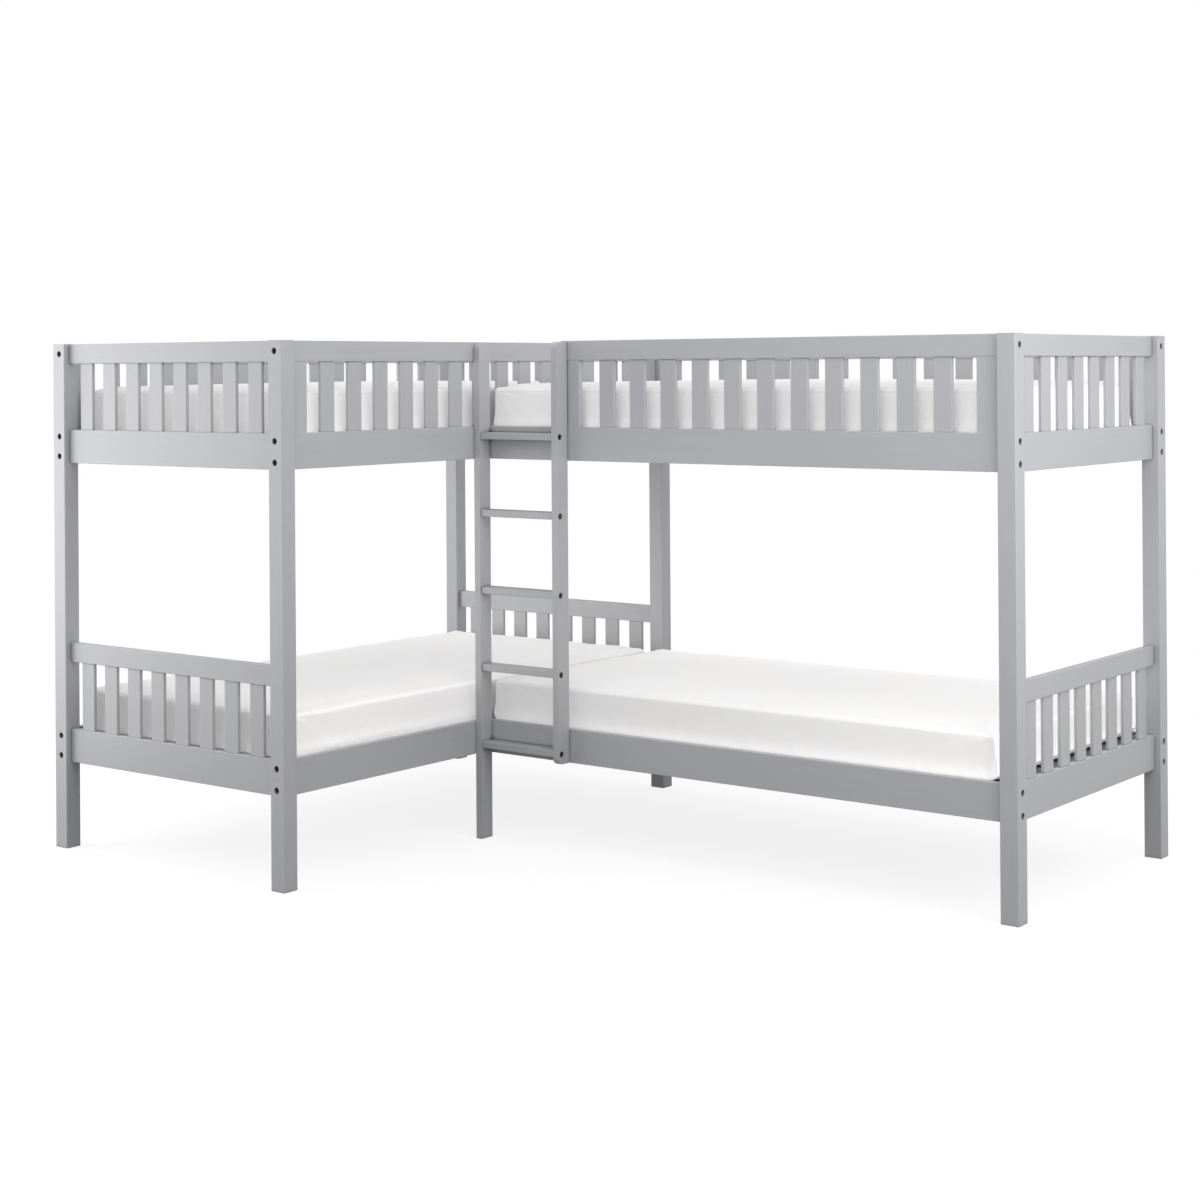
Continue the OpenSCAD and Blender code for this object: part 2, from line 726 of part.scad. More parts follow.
guard_top_rail(left_side, ["bolt", "bolt"]);  // guard_left_top_rail
guard_slats(left_side);  // guard_left_slats
side_rail(left_side, 1, ["bolt", "bolt"], guard_slots(side_l));  // upper_left_side_rail
guard_inner_top_rail();
guard_slats(inner_side);  // guard_inner_slats
inner_side_rail(1, guard_slots(side_l));  // upper_inner_side_rail
guard_entry_top_rail();
guard_slats(entry_guard);  // guard_entry_slats
entry_side_rail(1, shifted(guard_slots(entry_guard[3]), entry_x - ladder_x));  // upper_entry_side_rail
guard_top_rail(back_side, ["tenon", "bolt"]);  // guard_back_top_rail
guard_slats(back_side);  // guard_back_slats
side_rail(back_side, 1, ["tenon", "bolt"], guard_slots(back_side[3]));  // upper_back_side_rail

side_rail(left_side, 0, ["bolt", "bolt"]);  // lower_left_side_rail
inner_side_rail(0);  // lower_inner_side_rail
entry_side_rail(0);  // lower_entry_side_rail
side_rail(back_side, 0, ["tenon", "bolt"]);  // lower_back_side_rail

ladder_stringer_long();
ladder_stringer_short();
ladder_tread(0);  // ladder_tread_1
ladder_tread(1);  // ladder_tread_2
ladder_tread(2);  // ladder_tread_3
ladder_tread(3);  // ladder_tread_4
ladder_tread(4);  // ladder_tread_5

cleats(0);  // cleats_lower
cleats(1);  // cleats_upper
bed_slats_left(0);  // bed_slats_lower_left
bed_slats_right(0);  // bed_slats_lower_right
bed_slats_left(1);  // bed_slats_upper_left
bed_slats_right(1);  // bed_slats_upper_right
mattress_left(0);  // mattress_lower_left
mattress_right(0);  // mattress_lower_right
mattress_left(1);  // mattress_upper_left
mattress_right(1);  // mattress_upper_right

bolts();
barrel_nuts();
ladder_screws();
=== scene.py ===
import math

import bpy
import numpy as np
from mathutils import Matrix, Vector, noise


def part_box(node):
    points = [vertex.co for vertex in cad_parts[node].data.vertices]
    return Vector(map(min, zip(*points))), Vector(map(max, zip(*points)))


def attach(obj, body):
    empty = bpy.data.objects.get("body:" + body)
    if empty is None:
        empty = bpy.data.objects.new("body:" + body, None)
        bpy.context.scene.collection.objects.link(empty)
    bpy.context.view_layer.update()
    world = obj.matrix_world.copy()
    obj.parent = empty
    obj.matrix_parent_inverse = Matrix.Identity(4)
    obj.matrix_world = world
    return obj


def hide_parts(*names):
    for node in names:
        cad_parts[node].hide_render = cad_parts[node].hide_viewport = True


# L-shaped bunk bed. Lengths are in metres. X runs to the right, Y to the back and Z up.
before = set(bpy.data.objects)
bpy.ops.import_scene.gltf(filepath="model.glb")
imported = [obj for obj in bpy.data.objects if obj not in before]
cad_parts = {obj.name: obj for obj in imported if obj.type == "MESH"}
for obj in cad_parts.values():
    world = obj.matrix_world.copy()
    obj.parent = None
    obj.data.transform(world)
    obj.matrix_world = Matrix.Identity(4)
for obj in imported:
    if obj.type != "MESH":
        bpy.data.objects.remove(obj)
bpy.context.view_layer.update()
scene = bpy.context.scene


# ---- Camera: solved from the photograph's posts, with its verticals kept upright by the shift ----

CAMERA_AT = Vector((4.147, -5.4685, 1.569))
CAMERA_YAW, CAMERA_PITCH, CAMERA_ROLL = (math.radians(a) for a in (37.591, 0.104, -0.379))
CAMERA_LENS = 63.17
CAMERA_SHIFT = (0.0133, -0.1953)


def make_camera():
    ahead = Vector((-math.sin(CAMERA_YAW) * math.cos(CAMERA_PITCH),
                    math.cos(CAMERA_YAW) * math.cos(CAMERA_PITCH),
                    math.sin(CAMERA_PITCH)))
    level = Vector((math.cos(CAMERA_YAW), math.sin(CAMERA_YAW), 0))
    above = level.cross(ahead)
    right = level * math.cos(CAMERA_ROLL) + above * math.sin(CAMERA_ROLL)
    up = above * math.cos(CAMERA_ROLL) - level * math.sin(CAMERA_ROLL)
    turn = Matrix((right, up, -ahead)).transposed().to_4x4()
    camera = bpy.data.objects.new("camera", bpy.data.cameras.new("camera"))
    camera.data.lens = CAMERA_LENS
    camera.data.shift_x, camera.data.shift_y = CAMERA_SHIFT
    camera.matrix_world = Matrix.Translation(CAMERA_AT) @ turn
    scene.collection.objects.link(camera)
    scene.camera = camera


# ---- Light, world and floor ----

# Name, place and power in watts of each round soft lamp. All of them face LAMP_TARGET.
LAMPS = (
    ("left", (-3.0, -1.8, 1.2), 42),
    ("right_front", (3.2, -0.9, 2.0), 26),
    ("top_right", (2.8, -1.0, 4.2), 18),
)
# Level, side, place and power of each lamp that lights the mattresses of one level alone
FILLS = (
    ("lower", "right", (4.5, -1.6, 1.5), 110),
    ("lower", "front", (-1.2, -4.2, 1.8), 14),
    ("lower", "top", (-0.5, 1.5, 3.6), 38),
    ("upper", "right", (4.5, 0.5, 1.6), 85),
    ("upper", "front", (0.6, -4.6, 1.5), 45),
)
LAMP_SIZE = 2.4
LAMP_TARGET = Vector((0, 0, 0.9))
WHITE = (1, 1, 1, 1)
# Strength of the world as a light, and as the background that is seen
WORLD_LIGHT = 0.95
WORLD_SEEN = 1.0
# The floor's colour for light that it throws back, and how strongly it shows the bed's shadow
FLOOR_BOUNCE = 0.06
FLOOR_SHADE = 0.20
FLOOR_WHITE = 1.05
FLOOR_RADIUS = 3.2
FLOOR_SIDES = 96
# Distances from the middle between which the shadow fades out
FLOOR_FADE = (1.9, 3.1)


def make_lamp(name, place, power):
    lamp = bpy.data.lights.new(name, "AREA")
    lamp.shape = "DISK"
    lamp.size = LAMP_SIZE
    lamp.energy = power
    holder = bpy.data.objects.new(name, lamp)
    holder.location = place
    holder.rotation_mode = "QUATERNION"
    holder.rotation_quaternion = (LAMP_TARGET - Vector(place)).to_track_quat("-Z", "Y")
    scene.collection.objects.link(holder)
    return holder


def group(name, pieces):
    collection = bpy.data.collections.new(name)
    for piece in pieces:
        collection.objects.link(piece)
    return collection


def make_lamps(bedding):
    """LAMPS light all but the mattresses. FILLS light those, and no slat stripes them."""
    all_but_bedding = group("all_but_bedding", bedding)
    for member in all_but_bedding.collection_objects:
        member.light_linking.link_state = "EXCLUDE"
    for name, place, power in LAMPS:
        make_lamp(name, place, power).light_linking.receiver_collection = all_but_bedding
    levels = {level: group(level + "_bedding", [piece for piece in bedding if level in piece.name])
              for level in ("lower", "upper")}
    for level, side, place, power in FILLS:
        fill = make_lamp(level + "_fill_" + side, place, power)
        fill.light_linking.receiver_collection = levels[level]
        fill.light_linking.blocker_collection = levels[level]


class Shader:
    """A node tree. add() makes a node, and an input given as a socket is linked to it."""

    def __init__(self, owner):
        owner.use_nodes = True
        self.tree = owner.node_tree
        self.tree.nodes.clear()

    def add(self, kind, inputs=None, **props):
        node = self.tree.nodes.new("ShaderNode" + kind)
        for key, value in props.items():
            setattr(node, key, value)
        for key, value in (inputs or {}).items():
            if isinstance(value, bpy.types.NodeSocket):
                self.tree.links.new(value, node.inputs[key])
            else:
                node.inputs[key].default_value = value
        return node

    def math(self, operation, a, b=0.0):
        return self.add("Math", {0: a, 1: b}, operation=operation).outputs[0]

    def total(self, *parts):
        """The sum of some sockets, each times its weight."""
        whole = None
        for socket, weight in parts:
            term = self.math("MULTIPLY", socket, weight)
            whole = term if whole is None else self.math("ADD", whole, term)
        return whole

    def noise(self, place, stretch, detail=2.0, roughness=0.5):
        moved = self.add("Mapping", {"Vector": place, "Scale": stretch}).outputs[0]
        return self.add("TexNoise", {"Vector": moved, "Scale": 1.0, "Detail": detail,
                                     "Roughness": roughness}).outputs[0]

    def span(self, value, low, high, to_low, to_high):
        return self.add("MapRange", {"Value": value, "From Min": low, "From Max": high,
                                     "To Min": to_low, "To Max": to_high}).outputs[0]

    def mix(self, factor, one, two):
        return self.add("MixRGB", {"Fac": factor, "Color1": one, "Color2": two}).outputs[0]

    def bump(self, height, strength, depth, below=None):
        """Relief, on top of the relief below it if there is one."""
        inputs = {"Height": height, "Strength": strength, "Distance": depth}
        if below is not None:
            inputs["Normal"] = below
        return self.add("Bump", inputs).outputs[0]

    def seen(self):
        """1 where the camera, a reflection or glass looks straight at it."""
        path = self.add("LightPath")
        both = self.math("MAXIMUM", path.outputs["Is Camera Ray"], path.outputs["Is Glossy Ray"])
        return self.math("MAXIMUM", both, path.outputs["Is Transmission Ray"])

    def surface(self, inputs):
        """Ends a material with a principled surface."""
        shown = self.add("BsdfPrincipled", inputs)
        self.add("OutputMaterial", {"Surface": shown.outputs[0]})


def make_world():
    world = bpy.data.worlds.new("studio")
    scene.world = world
    s = Shader(world)
    lit = s.add("Background", {"Color": WHITE, "Strength": WORLD_LIGHT})
    shown = s.add("Background", {"Color": WHITE, "Strength": WORLD_SEEN})
    both = s.add("MixShader", {0: s.seen(), 1: lit.outputs[0], 2: shown.outputs[0]})
    s.add("OutputWorld", {"Surface": both.outputs[0]})


def make_floor():
    mesh = bpy.data.meshes.new("floor")
    rim = [math.tau * i / FLOOR_SIDES for i in range(FLOOR_SIDES)]
    corners = [(FLOOR_RADIUS * math.cos(a), FLOOR_RADIUS * math.sin(a), 0) for a in rim]
    mesh.from_pydata(corners, [], [range(FLOOR_SIDES)])
    floor = bpy.data.objects.new("floor", mesh)
    scene.collection.objects.link(floor)
    mat = bpy.data.materials.new("studio_floor")
    s = Shader(mat)
    bounce = s.add("BsdfDiffuse", {"Color": (FLOOR_BOUNCE, FLOOR_BOUNCE, FLOOR_BOUNCE, 1)})
    shadowed = s.add("BsdfDiffuse", {"Color": WHITE})
    white = s.add("Emission", {"Color": WHITE, "Strength": FLOOR_WHITE})
    place = s.add("TexCoord").outputs["Object"]
    far = s.add("VectorMath", {0: place}, operation="LENGTH").outputs["Value"]
    shadow = s.span(far, *FLOOR_FADE, FLOOR_SHADE, 0.0)
    shown = s.add("MixShader", {0: shadow, 1: white.outputs[0], 2: shadowed.outputs[0]})
    both = s.add("MixShader", {0: s.seen(), 1: bounce.outputs[0], 2: shown.outputs[0]})
    s.add("OutputMaterial", {"Surface": both.outputs[0]})
    mesh.materials.append(mat)


# ---- Materials ----

X, Y, Z = 0, 1, 2

PAINT = (0.436, 0.441, 0.460)
PAINT_INSIDE = (0.22, 0.22, 0.23)
STEEL = (0.10, 0.085, 0.05)
COTTON = (0.880, 0.870, 0.865)
# The cotton's slightly warmer clouds
COTTON_WARM = (COTTON[0], COTTON[1] * 0.995, COTTON[2] * 0.985)

# Roughness of the smoothest and the roughest paint
SATIN = (0.36, 0.50)
MATT = (0.55, 0.72)

# Scales of streaky noise per metre, across the streaks and along them
FIBRES = (420.0, 7.0)
STROKES = (90.0, 1.6)
SLUBS = (900.0, 60.0)
# Scales of even noise per metre
PAINT_CLOUDS = [2.3] * 3
SPECKS = [900.0] * 3
WEAR = [35.0] * 3
STEEL_PATCHES = [260.0] * 3
STEEL_GRIT = [1500.0] * 3
COTTON_CLOUDS = [3.0] * 3
CREASES = [14.0, 14.0, 9.0]
# The weave's waves in radians per metre, for threads 1.2 mm apart
WEAVE = 5200.0

# Detail and roughness of noise, where they aren't the usual ones
ROUGH_NOISE = (4.0, 0.6)
SOFT_NOISE = (3.0, 0.55)
WEAR_DETAIL = 3.0

# Tones, as factors of a colour
STROKE_TONES = (0.965, 1.03)
FIBRE_TONE = 0.93
PAINT_CLOUD_TONE = 1.03
WORN_TONE = 1.10
# The tone of the painted shade in the joints between boards and inside bores
PAINTED_SHADE_TONE = 0.05
PATCH_TONES = (0.55, 1.25)
SLUB_TONES = (0.975, 1.02)
COTTON_CLOUD_TONE = 0.99

# From which value up to which other one a pattern counts, and how much it counts at both
STROKE_SPAN = (0.3, 0.7, 0, 1)
FIBRE_SPAN = (0.35, 0.7, 0, 0.35)
PAINT_CLOUD_SPAN = (0.3, 0.7, 0, 0.6)
EDGE_SPAN = (0.72, 0.95, 0.75, 0.0)
WEAR_SPAN = (0.42, 0.62, 0.35, 1.0)
PATCH_SPAN = (0.35, 0.65, 0, 1)
PATCH_ROUGHNESS = (0.3, 0.7, 0.5, 0.3)
PAINT_ROUGHNESS_FROM = (0.3, 0.7)
SLUB_SPAN = (0.85, 1.15, 0, 1)
COTTON_CLOUD_SPAN = (0.3, 0.7, 0, 0.5)

# Strength and depth of each relief
PAINT_BUMP = (0.5, 0.00035)
STEEL_BUMP = (0.35, 0.0002)
WEAVE_BUMP = (0.5, 0.0004)
CREASE_BUMP = (0.35, 0.004)

# Painted shade: dark lines painted where boards meet, and painted dark inside a bore, where shade
# falls. For each, how far it looks for a wall, and how open to the sky a place is where the painted
# shade is full and where it ends
CREVICE_SHADE = (0.012, 0.35, 0.72)
BORE_SHADE = (0.026, 0.20, 0.46)
# How strong the painted shade is where it is full, on most parts; the next one is for the posts
PAINTED_SHADE = 0.95
# The lines are fainter on the posts and the ladder's stringers, as in the photograph
PAINTED_SHADE_ON_POSTS = 0.35
OPENNESS_SAMPLES = 6


def shade(colour, factor):
    return (*(min(c * factor, 1.0) for c in colour), 1.0)


def tones(colour, factors):
    return [shade(colour, factor) for factor in factors]


def streaks(axis, across, along):
    """Noise scales that give streaks along one axis."""
    scales = [across] * 3
    scales[axis] = along
    return scales


def painted_wood(name, axis, colour=PAINT, rough=SATIN, crevice_shade=PAINTED_SHADE):
    """Paint over wood: grain and brush marks along one axis, thinner paint on the edges,
    painted shade in lines in the corners where boards meet, and painted shade inside a bore."""
    mat = bpy.data.materials.new(name)
    s = Shader(mat)
    place = s.add("TexCoord").outputs["Object"]
    fibre = s.noise(place, streaks(axis, *FIBRES), *ROUGH_NOISE)
    stroke = s.noise(place, streaks(axis, *STROKES), *SOFT_NOISE)
    cloud = s.noise(place, PAINT_CLOUDS)
    speck = s.noise(place, SPECKS)
    tone = s.mix(s.span(stroke, *STROKE_SPAN), *tones(colour, STROKE_TONES))
    tone = s.mix(s.span(fibre, *FIBRE_SPAN), tone, shade(colour, FIBRE_TONE))
    tone = s.mix(s.span(cloud, *PAINT_CLOUD_SPAN), tone, shade(colour, PAINT_CLOUD_TONE))
    # A face that looks along no axis is the flat cut along a board's edge
    facing = s.add("SeparateXYZ", {0: s.add("NewGeometry").outputs["True Normal"]})
    ax, ay, az = (s.math("ABSOLUTE", facing.outputs[i]) for i in (X, Y, Z))
    flat = s.math("MAXIMUM", s.math("MAXIMUM", ax, ay), az)
    wear = s.span(s.noise(place, WEAR, WEAR_DETAIL), *WEAR_SPAN)
    worn = s.math("MULTIPLY", s.span(flat, *EDGE_SPAN), wear)
    tone = s.mix(worn, tone, shade(colour, WORN_TONE))
    # Painted shade: the paint is darkened where it is closed in, along the corners where boards
    # meet and inside a bore, where shade falls
    for (distance, low, high), shade_strength in ((CREVICE_SHADE, crevice_shade), (BORE_SHADE, PAINTED_SHADE)):
        openness = s.add("AmbientOcclusion", {"Distance": distance}, samples=OPENNESS_SAMPLES)
        shaded = s.span(openness.outputs["AO"], low, high, shade_strength, 0.0)
        tone = s.mix(shaded, tone, shade(colour, PAINTED_SHADE_TONE))
    relief = s.total((fibre, 0.5), (stroke, 0.9), (speck, 0.25))
    uneven = s.total((stroke, 0.6), (cloud, 0.4))
    roughness = s.span(uneven, *PAINT_ROUGHNESS_FROM, *rough)
    s.surface({"Base Color": tone, "Roughness": roughness, "Normal": s.bump(relief, *PAINT_BUMP),
               "IOR": 1.48})
    return mat


def fastener_steel():
    """Steel with an antique finish: a brass tone, darker in patches, and a fine grit."""
    mat = bpy.data.materials.new("antique_steel")
    s = Shader(mat)
    place = s.add("TexCoord").outputs["Object"]
    patch = s.noise(place, STEEL_PATCHES, *ROUGH_NOISE)
    tone = s.mix(s.span(patch, *PATCH_SPAN), *tones(STEEL, PATCH_TONES))
    s.surface({"Base Color": tone, "Metallic": 1.0,
               "Normal": s.bump(s.noise(place, STEEL_GRIT), *STEEL_BUMP),
               "Roughness": s.span(patch, *PATCH_ROUGHNESS)})
    return mat


def cotton(name):
    """Percale: a plain weave of fine warp and weft, with slubs, on soft creases."""
    mat = bpy.data.materials.new(name)
    s = Shader(mat)
    place = s.add("TexCoord").outputs["Object"]
    along = s.add("SeparateXYZ", {0: place}).outputs
    wave_x, wave_y, wave_z = (s.math("SINE", s.math("MULTIPLY", along[i], WEAVE))
                              for i in (X, Y, Z))
    weave = s.math("ADD", s.math("ADD", wave_x, wave_y), wave_z)
    slub = s.math("ADD", *(s.noise(place, streaks(i, *SLUBS)) for i in (X, Y)))
    crease = s.noise(place, CREASES, *SOFT_NOISE)
    cloud = s.noise(place, COTTON_CLOUDS)
    tone = s.mix(s.span(slub, *SLUB_SPAN), *tones(COTTON, SLUB_TONES))
    warm = shade(COTTON_WARM, COTTON_CLOUD_TONE)
    tone = s.mix(s.span(cloud, *COTTON_CLOUD_SPAN), tone, warm)
    fine = s.bump(s.total((weave, 0.03), (slub, 0.22)), *WEAVE_BUMP)
    s.surface({"Base Color": tone, "Roughness": 0.92,
               "Normal": s.bump(crease, *CREASE_BUMP, below=fine),
               "Sheen Weight": 0.25, "Sheen Roughness": 0.5, "Specular IOR Level": 0.2})


def finish_cad_nodes():
    paints = {axis: painted_wood("grey_paint_" + "xyz"[axis], axis) for axis in (X, Y, Z)}
    # The posts and the ladder's stringers get fainter painted shade lines
    upright = painted_wood("grey_post_paint", Z, crevice_shade=PAINTED_SHADE_ON_POSTS)
    inside = {axis: painted_wood("inside_paint_" + "xyz"[axis], axis, PAINT_INSIDE, MATT)
              for axis in (X, Y)}
    steel = fastener_steel()
    for name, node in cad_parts.items():
        lo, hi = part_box(name)
        size = hi - lo
        if name in ("bolts", "barrel_nuts", "ladder_screws"):
            mat = steel
        elif name.startswith("bed_slats"):
            mat = inside[X if name.endswith("left") else Y]
        elif name.startswith("cleats"):
            mat = inside[X]
        elif name.startswith(("post", "ladder_stringer")):
            mat = upright
        elif name.endswith("_slats"):
            mat = paints[Z]
        else:
            mat = paints[X if size.x > size.y else Y]
        node.data.materials.clear()
        node.data.materials.append(mat)


# ---- Mattresses: a is half the length, b half the width and t the thickness ----

# In the order that seeds their folds
MATTRESSES = ("mattress_lower_left", "mattress_lower_right",
              "mattress_upper_left", "mattress_upper_right")

# Radii of the upright corners, the upper edge and the lower edge
CORNER_R = 0.024
EDGE_R = 0.016
LOW_EDGE_R = 0.006
# Radius of the corners that show in the ladder's opening and in the lower end panel
TIGHT_R = 0.010
TIGHT_CORNERS = {"mattress_lower_right": ((-1, -1), (1, 1)), "mattress_upper_right": ((-1, -1),)}
# Room that is left for the filling and the folds
START_INSET = 0.005
CROWN = 0.010
# How far the sides go in at their middle, and how far from a side that is felt
WAIST = 0.002
WAIST_REACH = 0.15
# A length too short to divide by
TINY = 1e-9

# Where the cover's mesh is cut: distances from its edge, then two spacings
EDGE_CUTS = (0, 0.002, 0.004, 0.006, 0.009, 0.0125, EDGE_R, CORNER_R)
FINE_STEP = 0.013
FINE_BAND = 0.26
COARSE_STEP = 0.024
# Distances below the top and above the bottom, and the number of heights from one to the other
TOP_CUTS = (0, 0.004, 0.008, 0.012, 0.0155, 0.0185, 0.022, 0.026, 0.032)
LOW_CUTS = (0, 0.002, 0.004, 0.006, 0.012)
SIDE_CUTS = 9

# Cloth and pressure that fill the cover, which is held below PIN_HEIGHT
CLOTH = {"quality": 5, "mass": 0.25, "tension_stiffness": 12, "compression_stiffness": 8,
         "shear_stiffness": 4, "bending_stiffness": 0.15, "use_pressure": True,
         "uniform_pressure_force": 4, "shrink_min": -0.012, "vertex_group_mass": "pin"}
PUFF_FRAMES = 20
PUFF_CAP = 0.010
PIN_HEIGHT = 0.012

# How far a mattress swells over or against the rail between the arms, towards +X or -X
SWELL = {"mattress_lower_left": 0.011, "mattress_lower_right": -0.014,
         "mattress_upper_right": -0.006}
SWELL_REACH = 0.06
# The height at which the swell starts, and the height that it takes to be full
SWELL_FROM, SWELL_RISE = 0.008, 0.015
# How far the free end's back corner swells to the back, and its reach along and across
BACK_SWELL = {"mattress_lower_right": 0.014}
BACK_SWELL_REACH = (0.20, 0.06)
# How far the lower edge is rounded up at the right arm's free end, as seen through the lower
# end panel, and its reach along and upwards
END_LIFT = {"mattress_lower_right": 0.025}
END_LIFT_REACH = (0.030, 0.045)

# The sheet has folds above this height, and its top face is less deep than TOP_DEPTH
FOLDS_FROM = 0.02
TOP_DEPTH = EDGE_R * 0.6
# Slow and quick unevenness: scales across and upwards, and the offset from seed to seed
WOBBLE = (3.1, 6.0, 7.7)
RIPPLE = (9.0, 14.0, 5.1)
WOBBLE_ON_TOP, WOBBLE_ON_SIDES = 0.0012, 0.0010
RIPPLE_HEIGHT = 0.0006
# Folds that fan out from a top corner: height, reach, waves per radian and how much they wander
TOP_FAN = (0.0011, 0.13, 13, 3)
SIDE_FAN = (0.0014, 0.15, 15, 2.5)
# The shortest distance from a corner at which a fold's angle is taken
LEAST_ALONG = 1e-4
# The ridge along the top edge and the groove below it, and the ridge's share on each level
RIDGE_HEIGHT, RIDGE_WIDTH = 0.0010, 0.0035
RIDGE_DEPTH, GROOVE_DEPTH = 0.012, 0.019
RIDGE_SHARE = {"lower": 0.3, "upper": 1.0}


def fade(distance, reach):
    """1 at no distance, and 0 from the reach on."""
    return np.clip(1 - distance / reach, 0, 1)


def steps(half):
    """Places from -half to half, fine within FINE_BAND of each end and coarse between."""
    n = round((FINE_BAND - CORNER_R) / FINE_STEP)
    edge = [*EDGE_CUTS, *np.linspace(CORNER_R, FINE_BAND, n + 1)[1:]]
    n = max(2, round((2 * half - 2 * FINE_BAND) / COARSE_STEP))
    middle = np.linspace(-half + FINE_BAND, half - FINE_BAND, n + 1)[1:-1]
    return np.array([-half + e for e in edge] + [*middle] + [half - e for e in reversed(edge)])


def heights(t):
    """Heights at which the sides are cut."""
    between = np.linspace(LOW_CUTS[-1], t - TOP_CUTS[-1], SIDE_CUTS)[1:-1]
    return np.array([*LOW_CUTS, *between] + [t - r for r in reversed(TOP_CUTS)])


def box_surface(xs, ys, zs):
    """Vertices and quads of a closed box whose faces are cut at the given places."""
    index, verts, quads = {}, [], []

    def vertex(i, j, k):
        key = (i, j, k)
        if key not in index:
            index[key] = len(verts)
            verts.append((xs[i], ys[j], zs[k]))
        return index[key]

    def quad(*corners):
        quads.append([vertex(*corner) for corner in corners])

    nx, ny, nz = len(xs) - 1, len(ys) - 1, len(zs) - 1
    for i in range(nx):
        for j in range(ny):
            quad((i, j, nz), (i + 1, j, nz), (i + 1, j + 1, nz), (i, j + 1, nz))
            quad((i, j, 0), (i, j + 1, 0), (i + 1, j + 1, 0), (i + 1, j, 0))
    for k in range(nz):
        for i in range(nx):
            quad((i, 0, k), (i + 1, 0, k), (i + 1, 0, k + 1), (i, 0, k + 1))
            quad((i, ny, k), (i, ny, k + 1), (i + 1, ny, k + 1), (i + 1, ny, k))
        for j in range(ny):
            quad((0, j, k), (0, j, k + 1), (0, j + 1, k + 1), (0, j + 1, k))
            quad((nx, j, k), (nx, j + 1, k), (nx, j + 1, k + 1), (nx, j, k + 1))
    return np.array(verts), quads


def round_box(verts, a, b, t, tight_corners):
    """Moves a box's vertices on to a mattress shape: round corners and edges, a waist and a crown.
    A tight corner is given by the signs of its x and y."""
    p, z = verts[:, :2], verts[:, 2]
    upper = z > t / 2
    radius = np.full((len(p), 1), CORNER_R)
    for sign in tight_corners:
        radius[(p[:, 0] * sign[0] > 0) & (p[:, 1] * sign[1] > 0)] = TIGHT_R
    reach_in = np.array([a, b]) - radius
    inner = np.clip(p, -reach_in, reach_in)
    d = p - inner
    reach = np.linalg.norm(d, axis=1)
    # Distances in from the sides and from the top or bottom, then the same with round edges
    inset = np.minimum(a - abs(p[:, 0]), b - abs(p[:, 1]))
    depth = np.minimum(z, t - z)
    edge_r = np.where(upper, EDGE_R, LOW_EDGE_R)
    out, rise = np.clip(edge_r - inset, 0, None), np.clip(edge_r - depth, 0, None)
    span = np.maximum(np.hypot(out, rise), TINY)
    in_edge = (out > 0) & (rise > 0)
    round_out = np.where(in_edge, edge_r * out / span, out)
    round_rise = np.where(in_edge, edge_r * rise / span, rise)
    round_inset = np.where(inset < edge_r, edge_r - round_out, inset)
    round_depth = np.where(depth < edge_r, edge_r - round_rise, depth)
    near_end = abs(p[:, 0]) / a > abs(p[:, 1]) / b
    waist = WAIST * np.where(near_end, np.cos(np.pi * p[:, 1] / 2 / b),
                             np.cos(np.pi * p[:, 0] / 2 / a))
    round_inset = round_inset + waist * fade(inset, WAIST_REACH)
    unit = d / np.maximum(reach, TINY)[:, None]
    flat = np.where((reach > TINY)[:, None], inner + unit * (radius - round_inset[:, None]), p)
    round_z = np.where(upper, t - round_depth, round_depth)
    crown = CROWN * (1 - (p[:, 0] / a) ** 2) * (1 - (p[:, 1] / b) ** 2)
    round_z = round_z + crown * round_z / t
    return np.column_stack([flat, round_z])


def puff(piece, pinned):
    """Fills the cover like a bag with cloth and pressure, then limits how far each point went."""
    before = np.array([v.co for v in piece.data.vertices])
    pins = piece.vertex_groups.new(name="pin")
    pins.add([int(i) for i in np.nonzero(pinned)[0]], 1.0, "ADD")
    cloth = piece.modifiers.new("cloth", "CLOTH")
    for key, value in CLOTH.items():
        setattr(cloth.settings, key, value)
    cloth.settings.effector_weights.gravity = 0
    cloth.collision_settings.use_collision = False
    cloth.point_cache.frame_start, cloth.point_cache.frame_end = 1, PUFF_FRAMES
    for f in range(1, PUFF_FRAMES + 1):
        scene.frame_set(f)
    graph = bpy.context.evaluated_depsgraph_get()
    mesh = piece.evaluated_get(graph).to_mesh()
    after = np.array([v.co for v in mesh.vertices])
    piece.evaluated_get(graph).to_mesh_clear()
    piece.modifiers.remove(cloth)
    scene.frame_set(1)
    piece.vertex_groups.clear()
    move = after - before
    far = np.linalg.norm(move, axis=1)
    move *= (PUFF_CAP * np.tanh(far / PUFF_CAP) / np.maximum(far, TINY))[:, None]
    return before + move


def fan(angle, reach, wobble, offset, waves, wander, fan_reach):
    """Height from -1 to 1 of the folds at an angle around a corner and a distance from it."""
    return math.sin(angle * waves + wander * wobble + offset) * math.exp(-reach / fan_reach)


def hump(depth, middle):
    return math.exp(-((depth - middle) / RIDGE_WIDTH) ** 2)


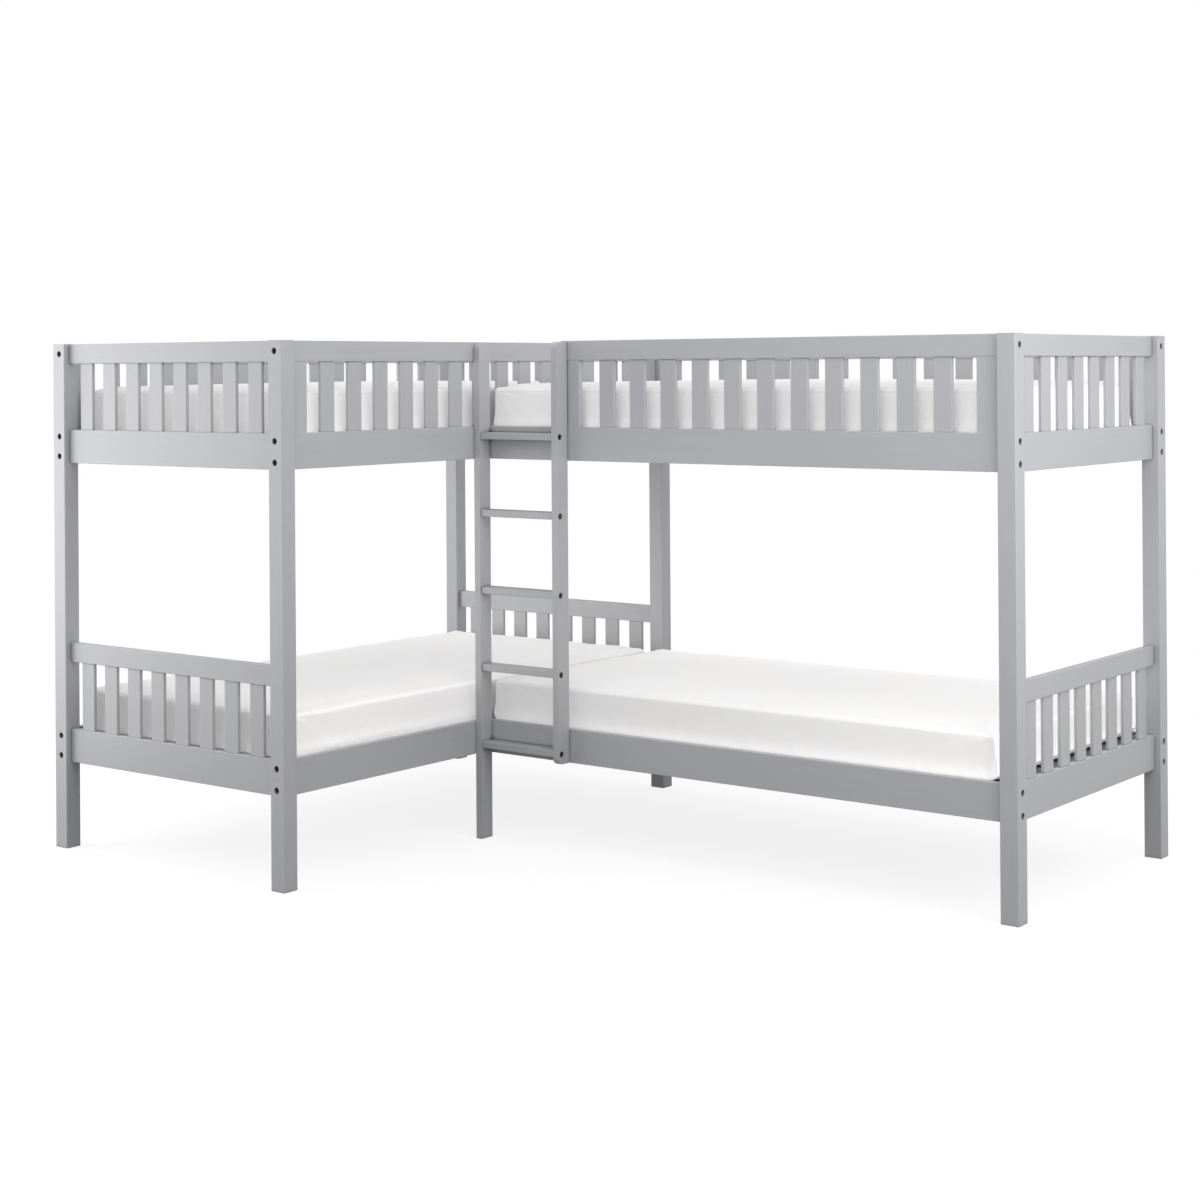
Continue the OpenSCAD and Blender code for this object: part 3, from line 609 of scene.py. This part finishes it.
def tuck(co, a, b, t, seed, ridge_share):
    """Folds of the fitted sheet: fans beside each top corner, an edge ridge and unevenness."""
    out = co.copy()
    for n, (x, y, z) in enumerate(co):
        if z <= FOLDS_FROM:
            continue
        wobble = noise.noise(Vector((x * WOBBLE[0] + seed * WOBBLE[2], y * WOBBLE[0],
                                     z * WOBBLE[1])))
        ripple = noise.noise(Vector((x * RIPPLE[0], y * RIPPLE[0] + seed * RIPPLE[2],
                                     z * RIPPLE[1])))
        depth = t - z
        edge_x, edge_y = a - abs(x), b - abs(y)
        if depth < TOP_DEPTH:
            outward = (0, 0, 1)
            height, fan_reach, waves, wander = TOP_FAN
            near, angle = math.hypot(edge_x, edge_y), math.atan2(edge_y, edge_x)
            push = WOBBLE_ON_TOP * wobble + RIPPLE_HEIGHT * ripple
            folds = fan(angle, near, wobble, seed, waves, wander, fan_reach)
            push += height * folds
        else:
            if edge_x < edge_y:
                outward, along = (math.copysign(1, x), 0, 0), edge_y
            else:
                outward, along = (0, math.copysign(1, y), 0), edge_x
            height, fan_reach, waves, wander = SIDE_FAN
            near, angle = math.hypot(depth, along), math.atan2(depth, max(along, LEAST_ALONG))
            folds = fan(angle, near, wobble, seed * 2.0, waves, wander, fan_reach)
            push = height * folds * min(along / CORNER_R, 1.0) + WOBBLE_ON_SIDES * wobble
            push += RIPPLE_HEIGHT * ripple
            ridge = hump(depth, RIDGE_DEPTH) - hump(depth, GROOVE_DEPTH)
            push += RIDGE_HEIGHT * ridge_share * ridge
        out[n] += np.array(outward) * push
    return out


def make_mattress(node, seed):
    lo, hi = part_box(node)
    size, middle = hi - lo, (lo + hi) / 2
    turned = size.y > size.x
    a, b = (size.y, size.x) if turned else (size.x, size.y)
    a, b, t = a / 2 - START_INSET, b / 2 - START_INSET, size.z - CROWN - START_INSET
    verts, quads = box_surface(steps(a), steps(b), heights(t))
    co = round_box(verts, a, b, t, TIGHT_CORNERS.get(node, ()))
    mesh = bpy.data.meshes.new(node + "_sheeted")
    mesh.from_pydata([tuple(c) for c in co], [], quads)
    piece = bpy.data.objects.new(node + "_sheeted", mesh)
    scene.collection.objects.link(piece)
    co = puff(piece, co[:, 2] < PIN_HEIGHT)
    co = tuck(co, a, b, t, seed, RIDGE_SHARE["upper" if "upper" in node else "lower"])
    near_end = fade(a - co[:, 0], END_LIFT_REACH[0]) * fade(co[:, 2], END_LIFT_REACH[1])
    co[:, 2] += END_LIFT.get(node, 0) * near_end
    back_corner = fade(a - co[:, 0], BACK_SWELL_REACH[0]) * fade(b - co[:, 1], BACK_SWELL_REACH[1])
    co[:, 1] += BACK_SWELL.get(node, 0) * back_corner
    if turned:
        co = np.column_stack([-co[:, 1], co[:, 0], co[:, 2]])
    swell = SWELL.get(node, 0)
    from_side = size.x / 2 - math.copysign(1, swell) * co[:, 0]
    raised = np.clip((co[:, 2] - SWELL_FROM) / SWELL_RISE, 0, 1)
    co[:, 0] += swell * fade(from_side, SWELL_REACH) * raised
    co += np.array([middle.x, middle.y, lo.z])
    mesh.vertices.foreach_set("co", co.astype(np.float32).ravel())
    mesh.update()
    mesh.polygons.foreach_set("use_smooth", [True] * len(mesh.polygons))
    smooth = piece.modifiers.new("smooth", "SUBSURF")
    smooth.levels = smooth.render_levels = 1
    mesh.materials.append(bpy.data.materials["white_cotton"])
    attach(piece, node)
    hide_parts(node)
    return piece


make_camera()
make_world()
make_floor()
finish_cad_nodes()
cotton("white_cotton")
make_lamps([make_mattress(name, seed) for seed, name in enumerate(MATTRESSES)])

scene.view_settings.view_transform = "Standard"
